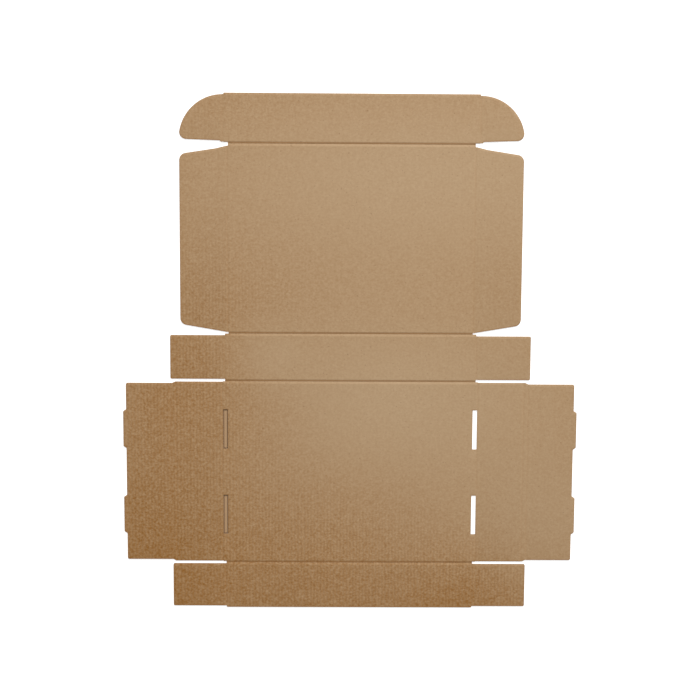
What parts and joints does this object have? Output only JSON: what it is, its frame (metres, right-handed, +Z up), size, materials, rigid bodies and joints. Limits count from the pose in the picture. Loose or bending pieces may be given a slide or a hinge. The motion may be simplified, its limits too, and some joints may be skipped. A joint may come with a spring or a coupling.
{
  "type": "shipping box blank",
  "caption": "Flat die-cut corrugated mailer blank; its walls, lid, dust flaps, ears and rolled-over inner walls fold up at creases into a lidded box.",
  "frame": {"origin": "centre of the base panel's underside, which the blank lies on", "axes": "+X to the right, +Y from the front wall over the base and lid to the tuck flap, +Z up, out of the inside face"},
  "size_m": [0.4578, 0.5196, 0.0014],
  "materials": {
    "kraft_board": "matte"
  },
  "bodies": {
    "base_panel": {"base_panel": "kraft_board"},
    "back_wall": {"back_wall": "kraft_board"},
    "front_wall": {"front_wall": "kraft_board"},
    "lid": {"lid": "kraft_board"},
    "tuck_flap": {"tuck_flap": "kraft_board"},
    "side_wall_left": {"side_wall_left": "kraft_board"},
    "rim_left": {"rim_left": "kraft_board"},
    "inner_wall_left": {"inner_wall_left": "kraft_board"},
    "back_dust_flap_left": {"back_dust_flap_left": "kraft_board"},
    "front_dust_flap_left": {"front_dust_flap_left": "kraft_board"},
    "lid_flap_left": {"lid_flap_left": "kraft_board"},
    "tuck_ear_left": {"tuck_ear_left": "kraft_board"},
    "side_wall_right": {"side_wall_right": "kraft_board"},
    "rim_right": {"rim_right": "kraft_board"},
    "inner_wall_right": {"inner_wall_right": "kraft_board"},
    "back_dust_flap_right": {"back_dust_flap_right": "kraft_board"},
    "front_dust_flap_right": {"front_dust_flap_right": "kraft_board"},
    "lid_flap_right": {"lid_flap_right": "kraft_board"},
    "tuck_ear_right": {"tuck_ear_right": "kraft_board"}
  },
  "joints": [
    {"name": "back_wall_fold", "type": "hinge", "parent": "base_panel", "child": "back_wall", "pos_m": [0, 0.09325, 0.0007], "axis": [1, 0, 0], "range_deg": [0, 90]},
    {"name": "front_wall_fold", "type": "hinge", "parent": "base_panel", "child": "front_wall", "pos_m": [0, -0.09325, 0.0007], "axis": [-1, 0, 0], "range_deg": [0, 90]},
    {"name": "lid_fold", "type": "hinge", "parent": "back_wall", "child": "lid", "pos_m": [0, 0.14145, 0.0007], "axis": [1, 0, 0], "range_deg": [0, 90]},
    {"name": "tuck_flap_fold", "type": "hinge", "parent": "lid", "child": "tuck_flap", "pos_m": [0, 0.33005, 0.0007], "axis": [1, 0, 0], "range_deg": [0, 90]},
    {"name": "side_wall_left_fold", "type": "hinge", "parent": "base_panel", "child": "side_wall_left", "pos_m": [-0.129, 0, 0.0007], "axis": [0, 1, 0], "range_deg": [0, 90]},
    {"name": "rim_left_fold", "type": "hinge", "parent": "side_wall_left", "child": "rim_left", "pos_m": [-0.1757, 0, 0.0007], "axis": [0, 1, 0], "range_deg": [0, 90]},
    {"name": "inner_wall_left_fold", "type": "hinge", "parent": "rim_left", "child": "inner_wall_left", "pos_m": [-0.18005, 0, 0.0007], "axis": [0, 1, 0], "range_deg": [0, 90]},
    {"name": "back_dust_flap_left_fold", "type": "hinge", "parent": "back_wall", "child": "back_dust_flap_left", "pos_m": [-0.12682, 0.11707, 0.0007], "axis": [0, 1, 0], "range_deg": [0, 90]},
    {"name": "front_dust_flap_left_fold", "type": "hinge", "parent": "front_wall", "child": "front_dust_flap_left", "pos_m": [-0.1261, -0.11707, 0.0007], "axis": [0, 1, 0], "range_deg": [0, 90]},
    {"name": "lid_flap_left_fold", "type": "hinge", "parent": "lid", "child": "lid_flap_left", "pos_m": [-0.1232, 0.23483, 0.0007], "axis": [0, 1, 0], "range_deg": [0, 90]},
    {"name": "tuck_ear_left_fold", "type": "hinge", "parent": "tuck_flap", "child": "tuck_ear_left", "pos_m": [-0.12755, 0.35422, 0.0007], "axis": [0, 1, 0], "range_deg": [0, 90]},
    {"name": "side_wall_right_fold", "type": "hinge", "parent": "base_panel", "child": "side_wall_right", "pos_m": [0.129, 0, 0.0007], "axis": [0, -1, 0], "range_deg": [0, 90]},
    {"name": "rim_right_fold", "type": "hinge", "parent": "side_wall_right", "child": "rim_right", "pos_m": [0.1757, 0, 0.0007], "axis": [0, -1, 0], "range_deg": [0, 90]},
    {"name": "inner_wall_right_fold", "type": "hinge", "parent": "rim_right", "child": "inner_wall_right", "pos_m": [0.18005, 0, 0.0007], "axis": [0, -1, 0], "range_deg": [0, 90]},
    {"name": "back_dust_flap_right_fold", "type": "hinge", "parent": "back_wall", "child": "back_dust_flap_right", "pos_m": [0.12682, 0.11707, 0.0007], "axis": [0, -1, 0], "range_deg": [0, 90]},
    {"name": "front_dust_flap_right_fold", "type": "hinge", "parent": "front_wall", "child": "front_dust_flap_right", "pos_m": [0.1261, -0.11707, 0.0007], "axis": [0, -1, 0], "range_deg": [0, 90]},
    {"name": "lid_flap_right_fold", "type": "hinge", "parent": "lid", "child": "lid_flap_right", "pos_m": [0.1232, 0.23483, 0.0007], "axis": [0, -1, 0], "range_deg": [0, 90]},
    {"name": "tuck_ear_right_fold", "type": "hinge", "parent": "tuck_flap", "child": "tuck_ear_right", "pos_m": [0.12755, 0.35422, 0.0007], "axis": [0, -1, 0], "range_deg": [0, 90]}
  ]
}
